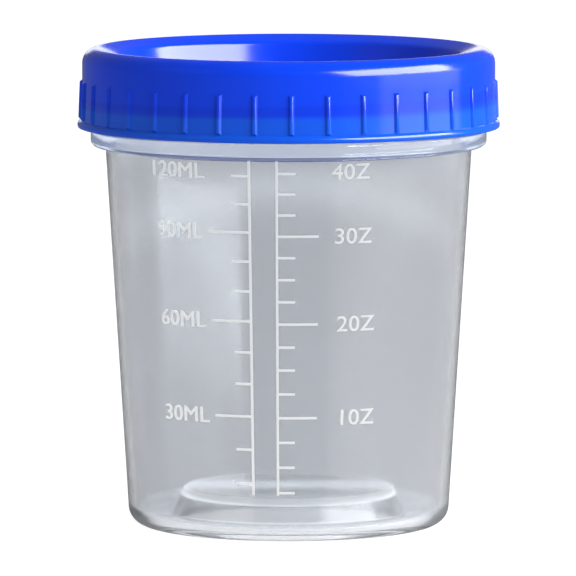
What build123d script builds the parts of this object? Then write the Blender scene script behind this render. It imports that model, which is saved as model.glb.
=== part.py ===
from build123d import *
import os
from math import cos, degrees, pi, radians, sin, tan

# Screw-lid specimen cup: a moulded cup, a moulded lid and a liner ring between them.
# +Z is up, the origin is the centre of the base on the surface it stands on, and the
# graduations face -Y. Azimuths are measured from -Y towards +X, seen from above.

# ---- driving dimensions, mm ----

# cup wall
base_r = 24.94               # outer radius where the wall's line meets the base plane
wall_draft = 3.555           # degrees the wall leans out
wall_t = 1.2
base_fillet = 2.8
floor_t = 1.5
inside_fillet = 2.0

# punt, the hollow raised centre of the floor
punt_top_r = 16.4
punt_foot_r = 18.2
punt_top_z = 5.9
punt_t = 1.2
punt_edge = 0.6

# collar and neck
collar_z = 59.5
collar_h = 2.6
collar_r = 30.95
collar_round = 0.9
neck_r = 29.75
mouth_r = 28.25
mouth_taper_up = 2.0         # the bore narrows from this far above the collar
mouth_taper_down = 1.0       # to this far below it
rim_z = 72.4
rim_round = 0.45

# screw thread, one start, right hand
thread_lead = 4.2
thread_root_w = 2.0
thread_crest_w = 0.9
cup_crest_r = 30.8
cup_thread_z = 64.6          # middle of the ridge at its lower end
cup_thread_az = -90.0
cup_thread_turns = 1.5
lid_crest_r = 30.1
lid_thread_turns = 1.25
lid_thread_lift = 0.15       # how much nearer the lid's ridge is to the one above it
thread_sink = 0.25           # how far a ridge reaches into the wall it stands on
runout = 24.0                # degrees over which a ridge fades into its wall
runout_steps = 3
runout_tip = 0.03            # share of a ridge's height left at its tip

# lid
lid_z = 62.4
lid_top_z = 74.8
bead_r = 33.0
bead_h = 1.1
skirt_low_r = 32.5
skirt_top_r = 32.26
shoulder_round = 2.36
skirt_in_r = 31.2
channel_z = 73.3
plug_r = 27.9
plug_low_r = 27.6
well_r = 26.0
well_floor_z = 68.2
well_floor_t = 1.4
crest_r = 29.7               # the rim is highest here and dips inward to the recess
dip_r = 27.0
dip_z = 73.7
crest_round = 0.8
dip_round = 0.6
well_foot_round = 1.0
channel_round = 0.8
channel_inner_round = 0.4
plug_round = 0.9

soft_edge = 0.25

# grip ribs on the skirt
rib_count = 36
rib_az = 0.7
rib_base_w = 1.1
rib_crest_w = 0.4
rib_top_z = 69.8
rib_low_r = 33.0
rib_top_r = 32.72
rib_slant_h = 0.7
rib_sink = 0.3
rib_edge_flat = 0.01         # left of the crest's own side faces by the bevel

# liner ring
liner_in_r = 28.2
liner_out_r = 29.7
liner_t = 0.75
seat_gap = 0.05

# graduations, raised from the front of the wall
mark_h = 0.15
line_w = 0.4
ml_line_az = -12.3
oz_line_az = -3.7
line_bottom_z = 7.5
top_label_z = 57.7           # labels above the collar's edge stand just under it
short_tick = 5.8             # degrees
long_tick = 13.2             # degrees
ml_label_az = -37.0
oz_label_top_az = 19.6
oz_label_step_az = 1.4        # each label down the scale stands this much further round
cap_h = 2.5
stroke_w = 0.36
letter_gap = 0.3             # of the letters' height
letter_sink = 0.3
ml_per_oz = 29.5735


def wall_r(z):
    """Outer radius of the tapered wall at height z."""
    return base_r + z * tan(radians(wall_draft))


def at(az):
    """Plane whose X points out of the cup at azimuth az, and whose Y is up."""
    out = (sin(radians(az)), -cos(radians(az)), 0)
    side = (cos(radians(az)), sin(radians(az)), 0)
    return Plane(origin=(0, 0, 0), x_dir=out, z_dir=tuple(-s for s in side))


# ---- volume marks: heights found from the cavity's own volume ----

def cavity_ml(z):
    """Millilitres held up to height z, above the floor and around the punt."""
    steps = 200
    dz = (z - floor_t) / steps
    total = 0.0
    for i in range(steps):
        h = floor_t + (i + 0.5) * dz
        area = pi * (wall_r(h) - wall_t) ** 2
        if h < punt_top_z:
            share = (h - floor_t) / (punt_top_z - floor_t)
            area -= pi * (punt_foot_r + share * (punt_top_r - punt_foot_r)) ** 2
        total += area * dz
    return total / 1000


def height_of(ml):
    """Height at which the cup holds this many millilitres."""
    low, high = floor_t, rim_z
    while high - low > 0.001:
        middle = (low + high) / 2
        if cavity_ml(middle) < ml:
            low = middle
        else:
            high = middle
    return low


# ---- helical ridges ----

def ridge_section(plane, root_r, crest_r, z, share):
    """Trapezoid of thread in an axial plane; share is how much of its height stands."""
    foot_r = root_r - thread_sink if crest_r > root_r else root_r + thread_sink
    top_r = root_r + share * (crest_r - root_r)
    with BuildSketch(plane) as section:
        with BuildLine():
            Polyline((foot_r, z - thread_root_w / 2), (root_r, z - thread_root_w / 2),
                     (top_r, z - thread_crest_w / 2), (top_r, z + thread_crest_w / 2),
                     (root_r, z + thread_root_w / 2), (foot_r, z + thread_root_w / 2),
                     close=True)
        make_face()
    return section.sketch


def ridge(root_r, crest_r, low_z, low_az, turns):
    """One start of thread, rising from low_z at low_az, with faded ends."""
    full = ridge_section(Plane.XZ, root_r, crest_r, low_z, 1)
    fades = []
    for end_turn, way in ((0, -1), (turns, 1)):
        sections = []
        for step in range(runout_steps + 1):
            turn = end_turn + way * step * runout / runout_steps / 360
            plane = Plane.XZ.rotated((0, 0, turn * 360))
            share = 1 - (1 - runout_tip) * step / runout_steps
            sections.append(ridge_section(plane, root_r, crest_r, low_z + turn * thread_lead, share))
        fades.append(sections)
    with BuildPart() as body:
        with BuildLine():
            path = Helix(thread_lead, turns * thread_lead, root_r, center=(0, 0, low_z))
        sweep(sections=full, path=path, is_frenet=True)
        for sections in fades:
            loft(sections=sections)
    return body.part.rotate(Axis.Z, low_az - 90)


# ---- raised lettering, drawn as strokes of even width ----

# each glyph's strokes on a body of height 1, and its width
oval = ((0.25, 1), (0.42, 0.93), (0.5, 0.74), (0.5, 0.26), (0.42, 0.07), (0.25, 0),
        (0.08, 0.07), (0, 0.26), (0, 0.74), (0.08, 0.93), (0.25, 1))
glyphs = {
    "0": ([oval], 0.5),
    "1": ([((0.06, 0.78), (0.26, 1), (0.26, 0))], 0.4),
    "2": ([((0, 0.76), (0.07, 0.93), (0.25, 1), (0.43, 0.93), (0.5, 0.76), (0.42, 0.54),
            (0, 0), (0.52, 0))], 0.52),
    "3": ([((0, 0.84), (0.1, 0.96), (0.26, 1), (0.42, 0.94), (0.47, 0.77), (0.4, 0.59),
            (0.2, 0.54)),
           ((0.2, 0.54), (0.42, 0.47), (0.5, 0.27), (0.43, 0.07), (0.25, 0), (0.09, 0.04),
            (0, 0.18))], 0.5),
    "4": ([((0.42, 0), (0.42, 1), (0, 0.28)), ((0, 0.28), (0.56, 0.28))], 0.56),
    "6": ([((0.48, 0.86), (0.39, 0.97), (0.25, 1), (0.09, 0.93), (0, 0.7), (0, 0.26),
            (0.08, 0.07), (0.25, 0), (0.42, 0.07), (0.5, 0.25), (0.5, 0.37), (0.42, 0.54),
            (0.25, 0.6), (0.08, 0.52), (0, 0.38))], 0.5),
    "9": ([((0.02, 0.14), (0.11, 0.03), (0.25, 0), (0.41, 0.07), (0.5, 0.3), (0.5, 0.74),
            (0.42, 0.93), (0.25, 1), (0.08, 0.93), (0, 0.75), (0, 0.63), (0.08, 0.46),
            (0.25, 0.4), (0.42, 0.48), (0.5, 0.62))], 0.5),
    "M": ([((0, 0), (0, 1), (0.32, 0.3), (0.64, 1), (0.64, 0))], 0.64),
    "L": ([((0, 1), (0, 0), (0.42, 0))], 0.42),
    "O": ([oval], 0.5),
    "Z": ([((0, 1), (0.5, 1), (0, 0), (0.52, 0))], 0.52),
}


# ---- raised marks on the wall ----

def wall_strip(low_z, high_z, half_width, az):
    """Upright raised line that follows the wall's slope."""
    with BuildPart() as strip:
        with BuildSketch(at(az)):
            with BuildLine():
                Polyline((wall_r(low_z) - mark_h, low_z), (wall_r(low_z) + mark_h, low_z),
                         (wall_r(high_z) + mark_h, high_z), (wall_r(high_z) - mark_h, high_z),
                         close=True)
            make_face()
        extrude(amount=half_width, both=True)
    return strip.part


def wall_tick(z, start_az, end_az):
    """Level raised line wrapped round the wall between two azimuths."""
    low_z = z - line_w / 2
    high_z = z + line_w / 2
    with BuildPart() as tick:
        with BuildSketch(at(start_az)):
            with BuildLine():
                Polyline((wall_r(low_z) - mark_h, low_z), (wall_r(low_z) + mark_h, low_z),
                         (wall_r(high_z) + mark_h, high_z), (wall_r(high_z) - mark_h, high_z),
                         close=True)
            make_face()
        revolve(axis=Axis.Z, revolution_arc=end_az - start_az)
    return tick.part


def wall_letter(letter, z, az):
    """One raised letter, standing flat on the wall's slope at its own azimuth."""
    lean = radians(wall_draft)
    outward = (sin(radians(az)) * cos(lean), -cos(radians(az)) * cos(lean), -sin(lean))
    foot_r = wall_r(z) - letter_sink
    plane = Plane(origin=(foot_r * sin(radians(az)), -foot_r * cos(radians(az)), z),
                  x_dir=(cos(radians(az)), sin(radians(az)), 0), z_dir=outward)
    strokes, width = glyphs[letter]
    with BuildPart() as raised:
        with BuildSketch(plane):
            for stroke in strokes:
                points = [((x - width / 2) * cap_h, (y - 0.5) * cap_h) for x, y in stroke]
                with BuildLine():
                    Polyline(*points)
                trace(line_width=stroke_w)
        extrude(amount=letter_sink + mark_h)
    return raised.part


def wall_label(words, z, az):
    """A line of raised letters, spread round the wall and centred on az."""
    gaps = letter_gap * (len(words) - 1)
    length = (sum(glyphs[letter][1] for letter in words) + gaps) * cap_h
    along = -length / 2
    letters = []
    for letter in words:
        width = glyphs[letter][1] * cap_h
        letters.append(wall_letter(letter, z, az + degrees((along + width / 2) / wall_r(z))))
        along += width + letter_gap * cap_h
    return letters


# ---- cup ----

os.makedirs("parts", exist_ok=True)

collar_top_z = collar_z + collar_h
neck_foot_r = wall_r(collar_z) - wall_t
punt_slope = (punt_foot_r - punt_top_r) / (punt_top_z - floor_t)
under_top_z = punt_top_z - punt_t
under_foot_r = punt_foot_r - wall_t + punt_slope * floor_t
under_top_r = under_foot_r - punt_slope * under_top_z

# the lid's ridge runs midway between the cup's, at the same lead
lid_thread_z = cup_thread_z + thread_lead / 2 + lid_thread_lift
lid_thread_az = cup_thread_az

cup_ridge = ridge(neck_r, cup_crest_r, cup_thread_z, cup_thread_az, cup_thread_turns)
line_top_z = collar_z + collar_round
scale_lines = [wall_strip(line_bottom_z, line_top_z, line_w / 2, az) for az in (ml_line_az, oz_line_az)]
ticks = []
for ml in range(10, 120, 10):
    tick = long_tick if ml % 30 == 0 else short_tick
    ticks.append(wall_tick(height_of(ml), ml_line_az - tick, ml_line_az))
for quarter in range(1, 16):
    tick = long_tick if quarter % 4 == 0 else short_tick
    ticks.append(wall_tick(height_of(quarter / 4 * ml_per_oz), oz_line_az, oz_line_az + tick))
labels = []
for ml in (30, 60, 90, 120):
    labels += wall_label(f"{ml}ML", min(height_of(ml), top_label_z), ml_label_az)
for oz in (1, 2, 3, 4):
    labels += wall_label(f"{oz}OZ", min(height_of(oz * ml_per_oz), top_label_z),
                         oz_label_top_az + oz_label_step_az * (4 - oz))

with BuildPart() as cup:
    with BuildSketch(Plane.XZ) as cup_half:
        with BuildLine():
            Polyline((0, under_top_z), (under_top_r, under_top_z), (under_foot_r, 0),
                     (base_r, 0), (wall_r(collar_z), collar_z), (collar_r, collar_z),
                     (collar_r, collar_top_z), (neck_r, collar_top_z), (neck_r, rim_z),
                     (mouth_r, rim_z), (mouth_r, collar_top_z + mouth_taper_up),
                     (neck_foot_r, collar_z - mouth_taper_down),
                     (wall_r(floor_t) - wall_t, floor_t), (punt_foot_r, floor_t),
                     (punt_top_r, punt_top_z), (0, punt_top_z), close=True)
        make_face()
        for r, z, radius in ((base_r, 0, base_fillet),
                             (wall_r(floor_t) - wall_t, floor_t, inside_fillet),
                             (punt_foot_r, floor_t, punt_edge),
                             (punt_top_r, punt_top_z, punt_edge),
                             (under_top_r, under_top_z, punt_edge / 2),
                             (under_foot_r, 0, punt_edge),
                             (collar_r, collar_z, collar_round),
                             (collar_r, collar_top_z, soft_edge),
                             (neck_r, rim_z, rim_round),
                             (mouth_r, rim_z, rim_round)):
            fillet(cup_half.vertices().sort_by_distance((r, z))[0], radius)
    revolve(axis=Axis.Z)
    for mark in scale_lines + ticks + labels:
        add(mark)
    add(cup_ridge)

# ---- lid ----

def grip_rib(az):
    """One upright rib on the skirt, with a slanted top and bevelled sides."""
    with BuildPart() as rib:
        with BuildSketch(at(az)):
            with BuildLine():
                Polyline((skirt_top_r - rib_sink, lid_z + bead_h / 2), (rib_low_r, lid_z + bead_h / 2),
                         (rib_top_r, rib_top_z - rib_slant_h), (skirt_top_r - rib_sink, rib_top_z),
                         close=True)
            make_face()
        extrude(amount=rib_base_w / 2, both=True)
        crest = rib.faces().sort_by(Axis((0, 0, 0), at(az).x_dir))[-1]
        crest_sides = crest.edges().sort_by(SortBy.LENGTH)[-2:]
        chamfer(crest_sides, (rib_base_w - rib_crest_w) / 2 - rib_edge_flat)
    return rib.part


lid_ridge = ridge(skirt_in_r, lid_crest_r, lid_thread_z, lid_thread_az, lid_thread_turns)
ribs = [grip_rib(rib_az + index * 360 / rib_count) for index in range(rib_count)]

with BuildPart() as lid:
    with BuildSketch(Plane.XZ) as lid_half:
        with BuildLine():
            Polyline((0, well_floor_z), (well_r, well_floor_z), (dip_r, dip_z),
                     (crest_r, lid_top_z), (skirt_top_r, lid_top_z), (skirt_top_r, rib_top_z),
                     (skirt_low_r, lid_z + bead_h), (bead_r, lid_z + bead_h), (bead_r, lid_z),
                     (skirt_in_r, lid_z), (skirt_in_r, channel_z), (plug_r, channel_z),
                     (plug_low_r, well_floor_z - well_floor_t), (0, well_floor_z - well_floor_t),
                     close=True)
        make_face()
        for r, z, radius in ((well_r, well_floor_z, well_foot_round),
                             (dip_r, dip_z, dip_round),
                             (crest_r, lid_top_z, crest_round),
                             (skirt_top_r, lid_top_z, shoulder_round),
                             (bead_r, lid_z + bead_h, soft_edge),
                             (bead_r, lid_z, soft_edge),
                             (skirt_in_r, lid_z, soft_edge),
                             (skirt_in_r, channel_z, channel_round),
                             (plug_r, channel_z, channel_inner_round),
                             (plug_low_r, well_floor_z - well_floor_t, plug_round)):
            fillet(lid_half.vertices().sort_by_distance((r, z))[0], radius)
    revolve(axis=Axis.Z)
    add([lid_ridge] + ribs)

# ---- liner ring ----

with BuildPart() as liner_ring:
    with BuildSketch(Plane.XZ):
        with Locations(((liner_in_r + liner_out_r) / 2, rim_z + seat_gap + liner_t / 2)):
            RectangleRounded(liner_out_r - liner_in_r, liner_t, soft_edge)
    revolve(axis=Axis.Z)

for piece, name in ((cup, "cup"), (lid, "lid"), (liner_ring, "liner_ring")):
    piece.part.label = name
    export_step(piece.part, f"parts/{name}.step")
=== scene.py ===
from math import cos, degrees, pi, radians, sin, tan

import bmesh
import bpy
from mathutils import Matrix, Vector


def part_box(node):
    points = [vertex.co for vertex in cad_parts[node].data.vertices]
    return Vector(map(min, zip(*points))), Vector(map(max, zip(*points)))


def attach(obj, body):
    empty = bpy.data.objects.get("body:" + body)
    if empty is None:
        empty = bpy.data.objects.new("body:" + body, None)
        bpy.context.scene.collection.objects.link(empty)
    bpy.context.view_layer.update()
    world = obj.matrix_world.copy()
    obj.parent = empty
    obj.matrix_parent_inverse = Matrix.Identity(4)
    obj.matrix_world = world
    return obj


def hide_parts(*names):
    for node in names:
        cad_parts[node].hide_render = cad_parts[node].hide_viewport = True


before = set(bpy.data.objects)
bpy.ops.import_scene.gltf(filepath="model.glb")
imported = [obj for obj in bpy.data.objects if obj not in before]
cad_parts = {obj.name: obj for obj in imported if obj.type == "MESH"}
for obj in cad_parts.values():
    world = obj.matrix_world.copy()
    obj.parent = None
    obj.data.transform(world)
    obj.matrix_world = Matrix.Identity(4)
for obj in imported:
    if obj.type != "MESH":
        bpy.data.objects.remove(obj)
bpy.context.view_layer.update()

# Screw-lid specimen cup. Metres, +Z up, the cup stands on z = 0 and its graduations face -Y.
# Azimuths are in degrees from -Y towards +X.

MM = 0.001

cup_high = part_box("cup")[1]
lid_low, lid_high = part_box("lid")
liner_low, liner_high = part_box("liner_ring")

# ---- sizes, from the frame's boxes and the cup's own proportions ----

RIM_Z = cup_high.z
COLLAR_R = cup_high.x
BASE_R = 24.94 * MM                  # where the wall's line meets the floor's plane
WALL_DRAFT = radians(3.555)
WALL_T = 1.2 * MM
NECK_R = COLLAR_R - 1.2 * MM
MOUTH_R = NECK_R - 1.5 * MM
COLLAR_Z = RIM_Z - 12.9 * MM
COLLAR_TOP_Z = COLLAR_Z + 2.6 * MM
FLOOR_T = 1.5 * MM
PUNT_TOP_R = 16.4 * MM
PUNT_FOOT_R = 18.2 * MM
PUNT_TOP_Z = 5.9 * MM
PUNT_T = 1.2 * MM
GATE_R = 0.9 * MM                    # the small mark where the plastic entered each mould
CUP_GATE_H = 0.35 * MM
LID_GATE_H = 0.3 * MM

LEAD = 4.2 * MM
THREAD_ROOT_W = 2.0 * MM
THREAD_CREST_W = 0.9 * MM
THREAD_LOW_Z = 64.6 * MM
CUP_CREST_R = 30.8 * MM
LID_CREST_R = 30.1 * MM
CUP_THREAD_TURNS = 1.5
LID_THREAD_TURNS = 1.25
LID_THREAD_LIFT = 0.15 * MM           # how much nearer the lid's ridge is to the one above it
THREAD_SINK = 0.25 * MM              # how far a ridge reaches into the wall it stands on
THREAD_STEP = 5.0                    # degrees between sections
THREAD_FADE = 24.0                   # degrees over which a ridge fades into its wall

LID_Z = lid_low.z
LID_TOP_Z = lid_high.z
BEAD_R = lid_high.x
BEAD_H = 0.8 * MM
BEAD_SLOPE_H = 0.4 * MM
SKIRT_LOW_R = BEAD_R - 0.5 * MM
SKIRT_TOP_R = BEAD_R - 0.74 * MM
SKIRT_IN_R = 31.2 * MM
CHANNEL_Z = LID_TOP_Z - 1.5 * MM
PLUG_R = 27.9 * MM
PLUG_LOW_R = 27.6 * MM
CREST_R = 29.7 * MM
DIP_R = 27.0 * MM
DIP_Z = LID_TOP_Z - 1.1 * MM
WELL_R = 26.0 * MM
WELL_FLOOR_Z = LID_TOP_Z - 6.6 * MM
WELL_FLOOR_T = 1.4 * MM
RIB_COUNT = 36
RIB_AZ = 0.7
RIB_TOP_Z = LID_TOP_Z - 5.0 * MM
RIB_H = 0.38 * MM
RIB_SLOPE = 0.3 * MM                 # how far each side of a rib leans in
RIB_ROUND = 0.1 * MM

MARK_H = 0.15 * MM
LINE_W = 0.36 * MM
ML_LINE_AZ = -12.3
OZ_LINE_AZ = -3.7
LINE_BOTTOM_Z = 7.5 * MM
SHORT_TICK = 5.8
LONG_TICK = 13.2
ML_LABEL_AZ = -37.0
OZ_LABEL_TOP_AZ = 19.6
OZ_LABEL_STEP_AZ = 1.4                # each label down the scale stands this much further round
CAP_H = 2.5 * MM
CAP_SHARE = 0.73                     # height of a capital in the font, as a share of its size
LETTER_WIDEN = 1.1
TOP_LABEL_Z = 57.7 * MM
ML_PER_OZ = 29.5735

SOFT_EDGE = 0.25 * MM
AROUND_CUP = 180
AROUND_LID = RIB_COUNT * 6
AROUND_LINER = 144


def wall_r(z):
    """Outer radius of the cup's tapered wall at height z."""
    return BASE_R + z * tan(WALL_DRAFT)


# ---- modelling helpers ----

def fresh():
    """Nothing selected, in object mode."""
    if bpy.context.object and bpy.context.object.mode != "OBJECT":
        bpy.ops.object.mode_set(mode="OBJECT")
    bpy.ops.object.select_all(action="DESELECT")


def take(piece):
    """Select one piece alone and make it active."""
    fresh()
    piece.select_set(True)
    bpy.context.view_layer.objects.active = piece


def edit(piece, kind="EDGE"):
    """Open a piece in edit mode with nothing selected."""
    take(piece)
    bpy.ops.object.mode_set(mode="EDIT")
    bpy.ops.mesh.select_mode(type=kind)
    bpy.ops.mesh.select_all(action="DESELECT")
    return bmesh.from_edit_mesh(piece.data)


def leave(piece):
    """Back to object mode."""
    bmesh.update_edit_mesh(piece.data)
    bpy.ops.object.mode_set(mode="OBJECT")


def pick_edges(piece, wanted):
    """Select the edges whose two ends both pass the test."""
    mesh = edit(piece, "EDGE")
    for e in mesh.edges:
        if all(wanted(v.co) for v in e.verts):
            e.select = True
    mesh.select_flush_mode()
    bmesh.update_edit_mesh(piece.data)


def at_ring(r, z, slack=0.02 * MM):
    """Test for a point on the circle of radius r at height z."""
    return lambda p: abs(p.xy.length - r) < slack and abs(p.z - z) < slack


def round_ring(piece, r, z, radius, segments=4):
    """Round the circular corner at (r, z)."""
    pick_edges(piece, at_ring(r, z))
    bpy.ops.mesh.bevel(offset=radius, segments=segments, affect="EDGES", clamp_overlap=False)
    leave(piece)


def turned(name, outline, around, start=0.0):
    """A round piece: one ring extruded and scaled from corner to corner of its outline.
    An outline that starts and ends on the axis is closed by poles, and any other comes
    back to its start."""
    fresh()
    poles = outline[0][0] == 0
    corners = outline[1:-1] if poles else outline[1:] + outline[:1]
    first_r, first_z = corners[0] if poles else outline[0]
    bpy.ops.mesh.primitive_circle_add(vertices=around, radius=first_r, location=(0, 0, first_z),
                                      rotation=(0, 0, start))
    piece = bpy.context.object
    piece.name = name
    bpy.ops.object.transform_apply(location=True, rotation=True, scale=True)
    bpy.ops.object.mode_set(mode="EDIT")
    bpy.ops.mesh.select_mode(type="EDGE")
    bpy.ops.mesh.select_all(action="SELECT")
    r, z = first_r, first_z
    for next_r, next_z in corners[1:] if poles else corners:
        bpy.ops.mesh.extrude_region_move(TRANSFORM_OT_translate={"value": (0, 0, next_z - z)})
        scale = next_r / r
        bpy.ops.transform.resize(value=(scale, scale, 1), center_override=(0, 0, next_z))
        r, z = next_r, next_z
    if poles:
        close_pole(outline[-1][1] - z)
        bpy.ops.object.mode_set(mode="OBJECT")
        pick_edges(piece, at_ring(first_r, first_z))
        close_pole(outline[0][1] - first_z)
    bpy.ops.mesh.select_all(action="SELECT")
    bpy.ops.mesh.remove_doubles(threshold=0.001 * MM)
    bpy.ops.mesh.normals_make_consistent(inside=False)
    leave(piece)
    return piece


def close_pole(rise):
    """Draw the selected ring in to one point on the axis."""
    bpy.ops.mesh.extrude_region_move(TRANSFORM_OT_translate={"value": (0, 0, rise)})
    bpy.ops.mesh.merge(type="CENTER")


def apply_modifier(piece, kind, **settings):
    """Add a modifier with its settings and apply it."""
    take(piece)
    bpy.ops.object.modifier_add(type=kind)
    modifier = piece.modifiers[-1]
    for key, value in settings.items():
        setattr(modifier, key, value)
    bpy.ops.object.modifier_apply(modifier=modifier.name)


def weld_on(piece, extra):
    """Join another solid to a piece as one skin, and drop the other."""
    apply_modifier(piece, "BOOLEAN", object=extra, operation="UNION", solver="EXACT")
    bpy.data.objects.remove(extra)


def smooth(piece, angle=32):
    """Smooth shading that keeps edges sharper than the angle."""
    take(piece)
    bpy.ops.object.shade_smooth_by_angle(angle=radians(angle))


def thread_ridge(name, root_r, crest_r, low_z, turns):
    """A helical ridge swept round by steps from the +X side, with ends that fade into the wall."""
    inward = crest_r < root_r
    foot_r = root_r + THREAD_SINK if inward else root_r - THREAD_SINK
    fresh()
    middle = (foot_r + crest_r) / 2
    bpy.ops.mesh.primitive_plane_add(size=1, location=(middle, 0, low_z), rotation=(pi / 2, 0, 0))
    ridge = bpy.context.object
    ridge.name = name
    ridge.scale = (abs(crest_r - foot_r), THREAD_ROOT_W, 1)
    bpy.ops.object.transform_apply(location=True, rotation=True, scale=True)
    mesh = edit(ridge, "VERT")
    for v in mesh.verts:
        v.select = abs(v.co.x - crest_r) < 0.01 * MM
    mesh.select_flush_mode()
    bmesh.update_edit_mesh(ridge.data)
    narrow = THREAD_CREST_W / THREAD_ROOT_W
    bpy.ops.transform.resize(value=(1, 1, narrow), center_override=(crest_r, 0, low_z))
    bpy.ops.mesh.select_mode(type="FACE")
    bpy.ops.mesh.select_all(action="SELECT")
    fade_steps = round(THREAD_FADE / THREAD_STEP)
    start = -THREAD_FADE
    steps = round((turns * 360 + 2 * THREAD_FADE) / THREAD_STEP)
    # the first section stands a fade ahead of the full thread, shrunk towards the wall
    share = 1 / (fade_steps + 1)
    drop = LEAD * THREAD_FADE / 360
    bpy.ops.transform.translate(value=(0, 0, -drop))
    bpy.ops.transform.resize(value=(share, share, share), center_override=(root_r, 0, low_z - drop))
    bpy.ops.transform.rotate(value=-radians(start), orient_axis="Z", center_override=(0, 0, 0))
    z = low_z - drop
    rise = LEAD * THREAD_STEP / 360
    for i in range(1, steps + 1):
        bpy.ops.mesh.extrude_region_move(TRANSFORM_OT_translate={"value": (0, 0, rise)})
        bpy.ops.transform.rotate(value=-radians(THREAD_STEP), orient_axis="Z", center_override=(0, 0, 0))
        z += rise
        angle = radians(start + i * THREAD_STEP)
        new_share = min(1, (i + 1) / (fade_steps + 1), (steps - i + 1) / (fade_steps + 1))
        if new_share != share:
            grow = new_share / share
            centre = (root_r * cos(angle), root_r * sin(angle), z)
            bpy.ops.transform.resize(value=(grow, grow, grow), center_override=centre)
            share = new_share
    bpy.ops.mesh.select_all(action="SELECT")
    bpy.ops.mesh.normals_make_consistent(inside=False)
    leave(ridge)
    return ridge


# ---- cup ----

def make_cup():
    """The moulded cup: wall, rounded base, hollow punt, collar and threaded neck, as one skin."""
    punt_slope = (PUNT_FOOT_R - PUNT_TOP_R) / (PUNT_TOP_Z - FLOOR_T)
    under_top_z = PUNT_TOP_Z - PUNT_T
    under_foot_r = PUNT_FOOT_R - WALL_T + punt_slope * FLOOR_T
    under_top_r = under_foot_r - punt_slope * under_top_z
    floor_r = wall_r(FLOOR_T) - WALL_T
    gate_z = under_top_z - CUP_GATE_H
    outline = [(0, gate_z), (GATE_R, gate_z), (GATE_R * 1.3, under_top_z),
               (under_top_r, under_top_z), (under_foot_r, 0), (BASE_R, 0),
               (wall_r(COLLAR_Z), COLLAR_Z), (COLLAR_R, COLLAR_Z), (COLLAR_R, COLLAR_TOP_Z),
               (NECK_R, COLLAR_TOP_Z), (NECK_R, RIM_Z), (MOUTH_R, RIM_Z),
               (MOUTH_R, COLLAR_TOP_Z + 2 * MM), (wall_r(COLLAR_Z) - WALL_T, COLLAR_Z - 1 * MM),
               (floor_r, FLOOR_T), (PUNT_FOOT_R, FLOOR_T), (PUNT_TOP_R, PUNT_TOP_Z), (0, PUNT_TOP_Z)]
    cup = turned("cup_body", outline, AROUND_CUP)
    # each round corner's place, its radius and its segments
    for r, z, radius, segments in ((BASE_R, 0, 2.7 * MM, 8),
                                   (floor_r, FLOOR_T, 1.9 * MM, 6),
                                   (PUNT_FOOT_R, FLOOR_T, 0.5 * MM, 3),
                                   (PUNT_TOP_R, PUNT_TOP_Z, 0.5 * MM, 4),
                                   (under_top_r, under_top_z, 0.3 * MM, 3),
                                   (under_foot_r, 0, 0.5 * MM, 4),
                                   (COLLAR_R, COLLAR_Z, 0.9 * MM, 6),
                                   (COLLAR_R, COLLAR_TOP_Z, SOFT_EDGE, 3),
                                   (wall_r(COLLAR_Z), COLLAR_Z, 0.3 * MM, 3),
                                   (NECK_R, COLLAR_TOP_Z, SOFT_EDGE, 3),
                                   (NECK_R, RIM_Z, 0.45 * MM, 4),
                                   (MOUTH_R, RIM_Z, 0.45 * MM, 4)):
        round_ring(cup, r, z, radius, segments)
    ridge = thread_ridge("neck_thread", NECK_R, CUP_CREST_R, THREAD_LOW_Z, CUP_THREAD_TURNS)
    turn_half(ridge)
    weld_on(cup, ridge)
    smooth(cup)
    return cup


def turn_half(piece):
    """Half a turn about the axis."""
    edit(piece, "VERT")
    bpy.ops.mesh.select_all(action="SELECT")
    bpy.ops.transform.rotate(value=pi, orient_axis="Z", center_override=(0, 0, 0))
    leave(piece)


# ---- raised graduations ----

def cavity_ml(z):
    """Millilitres held up to height z, above the floor and round the punt."""
    steps = 200
    dz = (z - FLOOR_T) / steps
    total = 0.0
    for i in range(steps):
        h = FLOOR_T + (i + 0.5) * dz
        area = pi * (wall_r(h) - WALL_T) ** 2
        if h < PUNT_TOP_Z:
            share = (h - FLOOR_T) / (PUNT_TOP_Z - FLOOR_T)
            area -= pi * (PUNT_FOOT_R + share * (PUNT_TOP_R - PUNT_FOOT_R)) ** 2
        total += area * dz
    return total * 1e6


def height_of(ml):
    """Height at which the cup holds this many millilitres."""
    low, high = FLOOR_T, RIM_Z
    while high - low > 0.001 * MM:
        middle = (low + high) / 2
        if cavity_ml(middle) < ml:
            low = middle
        else:
            high = middle
    return low


def wall_place(z, az, lift=3 * MM):
    """Location and rotation of a flat mark that faces out of the wall."""
    a = radians(az)
    r = wall_r(z) + lift
    return (r * sin(a), -r * cos(a), z), (pi / 2, 0, a)


def raise_mark(mark, wall):
    """Lay a flat mark on the wall and give it its height and soft edges."""
    apply_modifier(mark, "SHRINKWRAP", target=wall, wrap_method="PROJECT", use_project_z=True,
                   use_negative_direction=True, use_positive_direction=False)
    apply_modifier(mark, "SOLIDIFY", thickness=2 * MARK_H, offset=0)
    apply_modifier(mark, "BEVEL", width=0.04 * MM, segments=2, limit_method="ANGLE", angle_limit=radians(50))
    take(mark)
    bpy.ops.object.transform_apply(location=True, rotation=True, scale=True)
    return mark


def bar(name, wall, z, az, width, height, cuts):
    """A raised bar on the wall, width round it and height up it."""
    fresh()
    place, turn = wall_place(z, az)
    bpy.ops.mesh.primitive_plane_add(size=1, location=place, rotation=turn)
    mark = bpy.context.object
    mark.name = name
    mark.scale = (width, height, 1)
    bpy.ops.object.transform_apply(location=False, rotation=False, scale=True)
    mesh = edit(mark, "EDGE")
    along = 0 if width > height else 1
    for e in mesh.edges:
        span = e.verts[0].co - e.verts[1].co
        e.select = abs(span[along]) > abs(span[1 - along])
    bmesh.update_edit_mesh(mark.data)
    bpy.ops.mesh.subdivide(number_cuts=cuts)
    leave(mark)
    return raise_mark(mark, wall)


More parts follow.
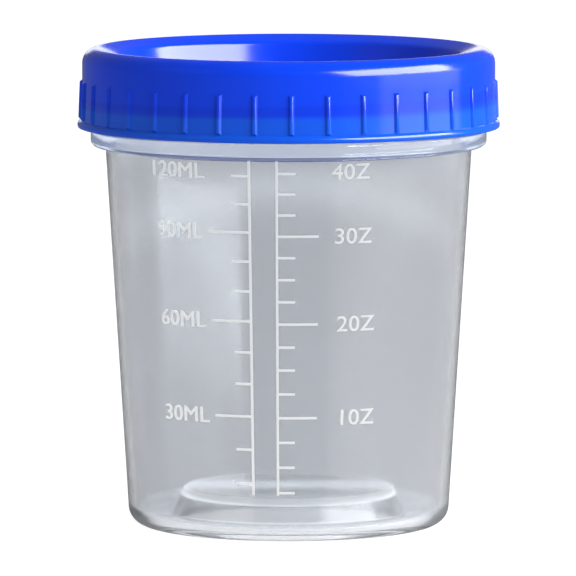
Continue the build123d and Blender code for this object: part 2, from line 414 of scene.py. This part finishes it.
def label(words, wall, z, az):
    """A raised label such as 30ML, centred on the wall at z and az."""
    fresh()
    place, turn = wall_place(z, az)
    bpy.ops.object.text_add(location=place, rotation=turn)
    text = bpy.context.object
    text.data.body = words
    text.data.size = CAP_H / CAP_SHARE
    text.data.space_character = 1.02
    text.data.resolution_u = 5
    text.name = "label_" + words
    bpy.ops.object.convert(target="MESH")
    text = bpy.context.object
    text.scale = (LETTER_WIDEN, 1, 1)
    bpy.ops.object.transform_apply(location=False, rotation=False, scale=True)
    bpy.ops.object.origin_set(type="ORIGIN_GEOMETRY", center="BOUNDS")
    text.location = place
    bpy.context.view_layer.update()
    mesh = edit(text, "VERT")
    bpy.ops.mesh.select_all(action="SELECT")
    bpy.ops.mesh.remove_doubles(threshold=0.002 * MM)
    bpy.ops.mesh.dissolve_limited(angle_limit=radians(1))
    leave(text)
    return raise_mark(text, wall)


def make_graduations(wall):
    """The millilitre and ounce scales, moulded proud of the wall, as one piece."""
    line_top_z = COLLAR_Z - 0.1 * MM
    middle = (LINE_BOTTOM_Z + line_top_z) / 2
    height = line_top_z - LINE_BOTTOM_Z
    marks = []
    for az in (ML_LINE_AZ, OZ_LINE_AZ):
        marks.append(bar("line", wall, middle, az, LINE_W, height / cos(WALL_DRAFT), 8))
    for ml in range(10, 120, 10):
        z = height_of(ml)
        tick = LONG_TICK if ml % 30 == 0 else SHORT_TICK
        marks.append(bar("tick", wall, z, ML_LINE_AZ - tick / 2, wall_r(z) * radians(tick), LINE_W, 10))
    for quarter in range(1, 16):
        z = height_of(quarter / 4 * ML_PER_OZ)
        tick = LONG_TICK if quarter % 4 == 0 else SHORT_TICK
        marks.append(bar("tick", wall, z, OZ_LINE_AZ + tick / 2, wall_r(z) * radians(tick), LINE_W, 10))
    for ml in (30, 60, 90, 120):
        marks.append(label(f"{ml}ML", wall, min(height_of(ml), TOP_LABEL_Z), ML_LABEL_AZ))
    # the O of OZ is as narrow as a zero, so the label is written with a zero
    for oz in (1, 2, 3, 4):
        label_az = OZ_LABEL_TOP_AZ + OZ_LABEL_STEP_AZ * (4 - oz)
        marks.append(label(f"{oz}0Z", wall, min(height_of(oz * ML_PER_OZ), TOP_LABEL_Z), label_az))
    fresh()
    for mark in marks:
        mark.select_set(True)
    bpy.context.view_layer.objects.active = marks[0]
    bpy.ops.object.join()
    graduations = bpy.context.object
    graduations.name = "graduations"
    take(graduations)
    bpy.ops.object.transform_apply(location=True, rotation=True, scale=True)
    smooth(graduations, 40)
    return graduations


# ---- lid ----

def make_lid():
    """The moulded lid: rounded rim, deep recess, ribbed skirt, bead and inside thread, as one skin."""
    under_z = WELL_FLOOR_Z - WELL_FLOOR_T
    skirt_low_z = LID_Z + BEAD_H + BEAD_SLOPE_H
    gate_z = WELL_FLOOR_Z + LID_GATE_H
    outline = [(0, under_z), (PLUG_LOW_R, under_z), (PLUG_R, CHANNEL_Z), (SKIRT_IN_R, CHANNEL_Z),
               (SKIRT_IN_R, LID_Z), (BEAD_R, LID_Z), (BEAD_R, LID_Z + BEAD_H),
               (SKIRT_LOW_R, skirt_low_z), (SKIRT_TOP_R, RIB_TOP_Z), (SKIRT_TOP_R, LID_TOP_Z),
               (CREST_R, LID_TOP_Z), (DIP_R, DIP_Z), (WELL_R, WELL_FLOOR_Z),
               (1.3 * MM, WELL_FLOOR_Z), (GATE_R, gate_z), (0, gate_z)]
    step = 360 / AROUND_LID
    lid = turned("lid_shell", outline, AROUND_LID, start=radians(RIB_AZ - step / 2))
    mesh = edit(lid, "FACE")
    pitch = 360 / RIB_COUNT
    for face in mesh.faces:
        middle = face.calc_center_median()
        outside = middle.xy.length > SKIRT_IN_R + 0.5 * MM
        on_skirt = outside and skirt_low_z + 0.5 * MM < middle.z < RIB_TOP_Z
        az = degrees(Vector((0, -1)).angle_signed(middle.xy)) * -1
        off = (az - RIB_AZ + pitch / 2) % pitch - pitch / 2
        face.select = on_skirt and abs(off) < step * 0.3
    bmesh.update_edit_mesh(lid.data)
    bpy.ops.mesh.inset(thickness=RIB_SLOPE, depth=RIB_H)
    bpy.ops.mesh.region_to_loop()
    bpy.ops.mesh.bevel(offset=RIB_ROUND, segments=2, affect="EDGES")
    leave(lid)
    for r, z, radius, segments in ((SKIRT_TOP_R, LID_TOP_Z, 2.36 * MM, 10),
                                   (CREST_R, LID_TOP_Z, 0.15 * MM, 2),
                                   (DIP_R, DIP_Z, 0.5 * MM, 5),
                                   (WELL_R, WELL_FLOOR_Z, 1.0 * MM, 5),
                                   (BEAD_R, LID_Z, SOFT_EDGE, 3),
                                   (BEAD_R, LID_Z + BEAD_H, SOFT_EDGE, 3),
                                   (SKIRT_IN_R, LID_Z, SOFT_EDGE, 3),
                                   (SKIRT_IN_R, CHANNEL_Z, 0.8 * MM, 4),
                                   (PLUG_LOW_R, under_z, 0.9 * MM, 5)):
        round_ring(lid, r, z, radius, segments)
    lid_thread_z = THREAD_LOW_Z + LEAD / 2 + LID_THREAD_LIFT
    ridge = thread_ridge("lid_thread", SKIRT_IN_R, LID_CREST_R, lid_thread_z, LID_THREAD_TURNS)
    turn_half(ridge)
    weld_on(lid, ridge)
    smooth(lid)
    return lid


# ---- liner ring ----

def make_liner():
    """The soft sealing ring over the cup's rim."""
    out_r = liner_high.x
    in_r = MOUTH_R - 0.05 * MM
    liner = turned("sealing_ring", [(out_r, liner_low.z), (out_r, liner_high.z),
                                    (in_r, liner_high.z), (in_r, liner_low.z)], AROUND_LINER)
    for r in (out_r, in_r):
        for z in (liner_low.z, liner_high.z):
            round_ring(liner, r, z, SOFT_EDGE, 3)
    smooth(liner)
    return liner


# ---- materials ----

class Value:
    """A socket or number that takes part in arithmetic, adding Math nodes as it goes."""

    def __init__(self, tree, socket):
        self.tree = tree
        self.socket = socket

    def _math(self, operation, *inputs):
        node = self.tree.nodes.new("ShaderNodeMath")
        node.operation = operation
        for slot, item in enumerate(inputs):
            if isinstance(item, Value):
                self.tree.links.new(item.socket, node.inputs[slot])
            else:
                node.inputs[slot].default_value = item
        return Value(self.tree, node.outputs[0])

    def __add__(self, other):
        return self._math("ADD", self, other)

    def __radd__(self, other):
        return self._math("ADD", other, self)

    def __sub__(self, other):
        return self._math("SUBTRACT", self, other)

    def __rsub__(self, other):
        return self._math("SUBTRACT", other, self)

    def __mul__(self, other):
        return self._math("MULTIPLY", self, other)

    def __truediv__(self, other):
        return self._math("DIVIDE", self, other)

    def __rmul__(self, other):
        return self._math("MULTIPLY", other, self)

    def __rtruediv__(self, other):
        return self._math("DIVIDE", other, self)

    def clamped(self):
        """Kept between 0 and 1."""
        return self._math("MINIMUM", self._math("MAXIMUM", self, 0.0), 1.0)

    def power(self, exponent):
        """This value to a power."""
        return self._math("POWER", self, exponent)

    def turn_from(self, other):
        """Angle in radians of the direction with this value across and the other along."""
        return self._math("ARCTAN2", self, other)


class Finish:
    """One material and the nodes that make it."""

    def __init__(self, name):
        self.material = bpy.data.materials.new(name)
        self.material.use_nodes = True
        self.tree = self.material.node_tree
        self.shader = self.tree.nodes["Principled BSDF"]

    def node(self, kind, settings=None, **inputs):
        """Add a node: its settings first, then the values or links of its sockets, by name."""
        node = self.tree.nodes.new(kind)
        for key, value in (settings or {}).items():
            setattr(node, key, value)
        for key, value in inputs.items():
            self.feed(node.inputs[key.replace("_", " ")], value)
        return node

    def feed(self, socket, value):
        """Link a socket, or set its plain value."""
        if isinstance(value, Value):
            self.tree.links.new(value.socket, socket)
        elif isinstance(value, bpy.types.NodeSocket):
            self.tree.links.new(value, socket)
        else:
            socket.default_value = value

    def value(self, socket):
        """A socket ready for arithmetic."""
        return Value(self.tree, socket)

    def place(self):
        """Object coordinates."""
        return self.node("ShaderNodeTexCoord").outputs["Object"]

    def axes(self):
        """The x, y and z of the place, each ready for arithmetic."""
        split = self.node("ShaderNodeSeparateXYZ", Vector=self.place())
        return [self.value(output) for output in split.outputs]

    def noise(self, scale, detail=3.0, stretch=(1, 1, 1)):
        """Smooth noise with its pattern stretched along the axes; scale is per metre."""
        mapped = self.node("ShaderNodeMapping", Vector=self.place(), Scale=stretch)
        noise = self.node("ShaderNodeTexNoise", Vector=mapped.outputs[0], Scale=scale, Detail=detail)
        return self.value(noise.outputs["Fac"])

    def mix(self, factor, first, second):
        """One colour blended into another."""
        node = self.node("ShaderNodeMix", {"data_type": "RGBA"})
        self.feed(node.inputs[0], factor)
        self.feed(node.inputs[6], first)
        self.feed(node.inputs[7], second)
        return node.outputs[2]

    def bump(self, height, distance, strength):
        """Surface relief from a height, distance in metres."""
        node = self.node("ShaderNodeBump", Height=height, Distance=distance, Strength=strength)
        self.feed(self.shader.inputs["Normal"], node.outputs[0])

    def plain(self, **settings):
        """Constants on the shader's own sockets."""
        for key, value in settings.items():
            self.feed(self.shader.inputs[key.replace("_", " ")], value)


def natural_plastic():
    """Milky, see-through polypropylene with faint flow streaks.
    The paler foot, collar, punt and cone are painted light, the white top edge of the punt is a
    painted highlight, and the darker band down the front is painted shade. The collar and the
    punt's edges also have a set glow, a painted glow. The painted light and glow stand in for light
    scattered inside; none of it follows the lights."""
    finish = Finish("natural_polypropylene")
    x, y, z = finish.axes()
    streaks = finish.noise(120, 2.0, stretch=(1, 1, 0.06))
    cloud = finish.noise(45, 3.0)
    grain = finish.noise(2600, 2.0)
    tone = (streaks * 0.6 + cloud * 0.4).clamped()
    out = (x * x + y * y).power(0.5)
    side = x / out
    facing = (y * -1000.0).clamped()
    # painted shade: the wall is painted darker in a band down the side facing -Y, from about -13 to +16
    # degrees round
    front = facing * ((side + 0.225) / 0.02).clamped() * ((0.27 - side) / 0.06).clamped()
    # painted light: the foot below about 3.4 mm is painted paler
    lit_foot = ((3.4 * MM - z) / (1.0 * MM)).clamped()
    # painted light: the collar is painted paler and bluer, and glows faintly
    lit_collar = ((z - (COLLAR_Z - 0.2 * MM)) / (0.3 * MM)).clamped()
    lit_collar = lit_collar * ((out - NECK_R) / (0.4 * MM)).clamped()
    # painted light: the punt is painted paler, and its cone paler still
    lit_punt = ((PUNT_FOOT_R + 0.4 * MM - out) / (0.4 * MM)).clamped()
    lit_punt = lit_punt * ((PUNT_TOP_Z + 1.0 * MM - z) / (0.5 * MM)).clamped()
    # painted highlight: the punt's top edge is painted white and glows
    rim_out = (out - (PUNT_TOP_R + 0.1 * MM)) / (0.7 * MM)
    rim_up = (z - (PUNT_TOP_Z - 0.55 * MM)) / (0.75 * MM)
    punt_rim_highlight = (1.5 - rim_out * rim_out - rim_up * rim_up).clamped()
    # painted glow: a faint glowing ring round the punt's foot
    foot_out = (out - PUNT_FOOT_R) / (0.3 * MM)
    foot_up = (z - FLOOR_T) / (0.5 * MM)
    punt_foot_glow = (1.3 - foot_out * foot_out - foot_up * foot_up).clamped()
    wall = finish.mix(tone, (0.60, 0.617, 0.642, 1), (0.67, 0.687, 0.712, 1))
    # painted shade: the darker band down the front
    wall = finish.mix(front * 0.5, wall, (0.56, 0.59, 0.63, 1))
    # painted light on the foot
    wall = finish.mix(lit_foot * 0.8, wall, (0.86, 0.89, 0.93, 1))
    # painted light on the collar
    wall = finish.mix(lit_collar, wall, (0.66, 0.72, 0.82, 1))
    # painted light on the punt and its cone
    wall = finish.mix(lit_punt, wall, (0.84, 0.85, 0.87, 1))
    cone = lit_punt * ((PUNT_TOP_Z - 0.9 * MM - z) / (0.5 * MM)).clamped()
    wall = finish.mix(cone, wall, (0.96, 0.97, 0.98, 1))
    # painted highlight on the punt's top edge
    finish.feed(finish.shader.inputs["Base Color"], finish.mix(punt_rim_highlight, wall, (1.0, 1.0, 1.0, 1)))
    finish.feed(finish.shader.inputs["Roughness"], cloud * 0.05 + streaks * 0.04 + 0.04 + punt_rim_highlight * 0.3)
    # painted glow: the collar and the punt's foot and top edge glow, though no lamp is there
    glow = finish.mix(lit_collar, (0.0, 0.0, 0.0, 1), (0.07, 0.085, 0.13, 1))
    # painted glow round the punt's foot
    glow = finish.mix(punt_foot_glow, glow, (0.30, 0.31, 0.32, 1))
    # painted glow on the punt's top edge
    finish.feed(finish.shader.inputs["Emission Color"], finish.mix(punt_rim_highlight, glow, (0.75, 0.77, 0.78, 1)))
    finish.plain(IOR=1.45, Specular_IOR_Level=0.38, Transmission_Weight=0.95, Emission_Strength=1.0)
    finish.bump(grain * 0.3 + streaks * 0.7, 0.02 * MM, 0.15)
    return finish.material


def raised_plastic():
    """The same plastic where it stands proud. Its whiteness is a set glow over a dark base,
    which stands in for light scattered inside, so it doesn't follow the lights."""
    finish = Finish("raised_polypropylene")
    z = finish.axes()[2]
    speck = finish.noise(1800, 2.0)
    # painted glow: the marks glow less towards the top, from 15 mm up to 60 mm
    fade = ((z - 0.015) / 0.045).clamped()
    base = finish.mix(speck, (0.05, 0.05, 0.05, 1), (0.09, 0.09, 0.09, 1))
    finish.feed(finish.shader.inputs["Base Color"], base)
    finish.feed(finish.shader.inputs["Roughness"], speck * 0.2 + 0.35)
    # painted glow: the marks' whiteness is this glow, not lit colour
    glow = finish.mix(fade, (0.72, 0.73, 0.74, 1), (0.60, 0.62, 0.65, 1))
    finish.feed(finish.shader.inputs["Emission Color"], glow)
    finish.feed(finish.shader.inputs["Alpha"], 0.90 - speck * 0.15)
    finish.plain(IOR=1.49, Specular_IOR_Level=0.2, Emission_Strength=1.0)
    finish.bump(speck, 0.02 * MM, 0.3)
    return finish.material


def blue_plastic():
    """Saturated blue polyethylene with a soft gloss and faint flow marks.
    The thread's darker band is painted shade where the thread would show through, at the assumed
    lead, and the skirt low down is painted paler, painted light."""
    finish = Finish("blue_polyethylene")
    x, y, z = finish.axes()
    cloud = finish.noise(60, 3.0)
    flow = finish.noise(200, 2.0, stretch=(1, 1, 0.15))
    grain = finish.noise(3000, 2.0)
    tone = (cloud * 0.6 + flow * 0.4).clamped()
    turn = x.turn_from(y * -1.0)
    # painted shade: a darker helical band at the assumed lead, where the thread inside would show through
    off_thread = z - (THREAD_LOW_Z + 2.6 * MM) - turn * (LEAD / (2 * pi))
    band = (1.3 - off_thread * off_thread * (1 / (0.9 * MM) ** 2)).clamped()
    # painted light: the skirt is painted paler low down, below the thread
    low = ((THREAD_LOW_Z + 2.2 * MM - z) / (0.9 * MM)).clamped()
    plain = finish.mix(tone, (0.0, 0.022, 0.42, 1), (0.0, 0.034, 0.50, 1))
    pale = finish.mix(low * 0.5, plain, (0.004, 0.075, 0.38, 1))
    finish.feed(finish.shader.inputs["Base Color"], finish.mix(band * 0.45, pale, (0.0, 0.016, 0.35, 1)))
    finish.feed(finish.shader.inputs["Roughness"], cloud * 0.06 + grain * 0.04 + 0.12)
    finish.plain(IOR=1.51, Specular_IOR_Level=0.45, Subsurface_Weight=0.1, Subsurface_Scale=0.002,
                 Subsurface_Radius=(0.1, 0.4, 1.0))
    finish.bump(grain * 0.25 + flow * 0.75, 0.02 * MM, 0.2)
    return finish.material


def liner_foam():
    """Matt white foamed polyethylene with fine closed cells."""
    finish = Finish("white_foam")
    voronoi = finish.node("ShaderNodeTexVoronoi", Vector=finish.place(), Scale=3500.0)
    cells = finish.value(voronoi.outputs["Distance"])
    cloud = finish.noise(300, 2.0)
    base = finish.mix(cloud, (0.82, 0.83, 0.82, 1), (0.90, 0.91, 0.90, 1))
    finish.feed(finish.shader.inputs["Base Color"], base)
    finish.feed(finish.shader.inputs["Roughness"], cells * 0.2 + 0.6)
    finish.plain(IOR=1.45)
    finish.bump(cells, 0.04 * MM, 0.6)
    return finish.material


def dress(piece, material, body, node):
    """Give a piece its material, and its place in the model."""
    piece.data.materials.clear()
    piece.data.materials.append(material)
    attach(piece, body)
    if node:
        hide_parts(node)


cup_body = make_cup()
graduations = make_graduations(cup_body)
lid_shell = make_lid()
sealing_ring = make_liner()

dress(cup_body, natural_plastic(), "cup", "cup")
dress(graduations, raised_plastic(), "cup", None)
dress(lid_shell, blue_plastic(), "lid", "lid")
dress(sealing_ring, liner_foam(), "liner_ring", "liner_ring")

# ---- floor, light and camera ----

fresh()
bpy.ops.mesh.primitive_plane_add(size=8, location=(0, 0, 0))
floor = bpy.context.object
floor.name = "floor"
paper = Finish("white_paper")
paper_tone = paper.mix(paper.noise(30, 2.0), (0.11, 0.11, 0.11, 1), (0.13, 0.13, 0.13, 1))
paper.feed(paper.shader.inputs["Base Color"], paper_tone)
# the paper glows, so that it reads white with little light falling on it
paper.plain(Roughness=0.9, Specular_IOR_Level=0.1, Emission_Color=(1, 1, 1, 1),
            Emission_Strength=0.95)
floor.data.materials.append(paper.material)
floor.visible_glossy = False


def softbox(name, az, rise, distance, width, height, power):
    """A rectangular light at an azimuth and elevation in degrees, facing the cup."""
    a, e = radians(az), radians(rise)
    middle = Vector((0, 0, 0.04))
    way = Vector((cos(e) * sin(a), -cos(e) * cos(a), sin(e)))
    fresh()
    bpy.ops.object.light_add(type="AREA", location=middle + way * distance)
    lamp = bpy.context.object
    lamp.name = name
    lamp.rotation_euler = way.to_track_quat("Z", "Y").to_euler()
    lamp.data.shape = "RECTANGLE"
    lamp.data.size = width
    lamp.data.size_y = height
    lamp.data.energy = power
    return lamp


softbox("key_box", 68, 27.5, 1.2, 1.6, 0.8, 62)
softbox("low_box", 80, 5.7, 1.2, 1.3, 0.32, 3)
left_box = softbox("left_box", -70, 30, 1.4, 1.0, 0.8, 8)
left_box.visible_glossy = False
softbox("backdrop", 180, 5.5, 2.0, 0.8, 0.22, 1.0)
back_card = softbox("back_card", 180, 14, 2.2, 4.0, 1.2, 15)
back_card.visible_glossy = False
back_card.visible_diffuse = False

world = bpy.data.worlds.new("studio")
bpy.context.scene.world = world
world.use_nodes = True
sky = world.node_tree.nodes["Background"]
sky.inputs["Color"].default_value = (0.95, 0.97, 1.0, 1)
sky.inputs["Strength"].default_value = 0.18

CAM_DISTANCE = 1.3
CAM_PITCH = radians(5.85)
CAM_LENS = 518.7
AIM = Vector((-0.1 * MM, 0, 37 * MM))
camera_data = bpy.data.cameras.new("camera")
camera = bpy.data.objects.new("camera", camera_data)
bpy.context.scene.collection.objects.link(camera)
camera.location = AIM + Vector((0, -CAM_DISTANCE * cos(CAM_PITCH), CAM_DISTANCE * sin(CAM_PITCH)))
camera.rotation_euler = (AIM - camera.location).to_track_quat("-Z", "Y").to_euler()
camera_data.lens = CAM_LENS
camera_data.clip_end = 20
bpy.context.scene.camera = camera
bpy.context.scene.view_settings.view_transform = "Standard"
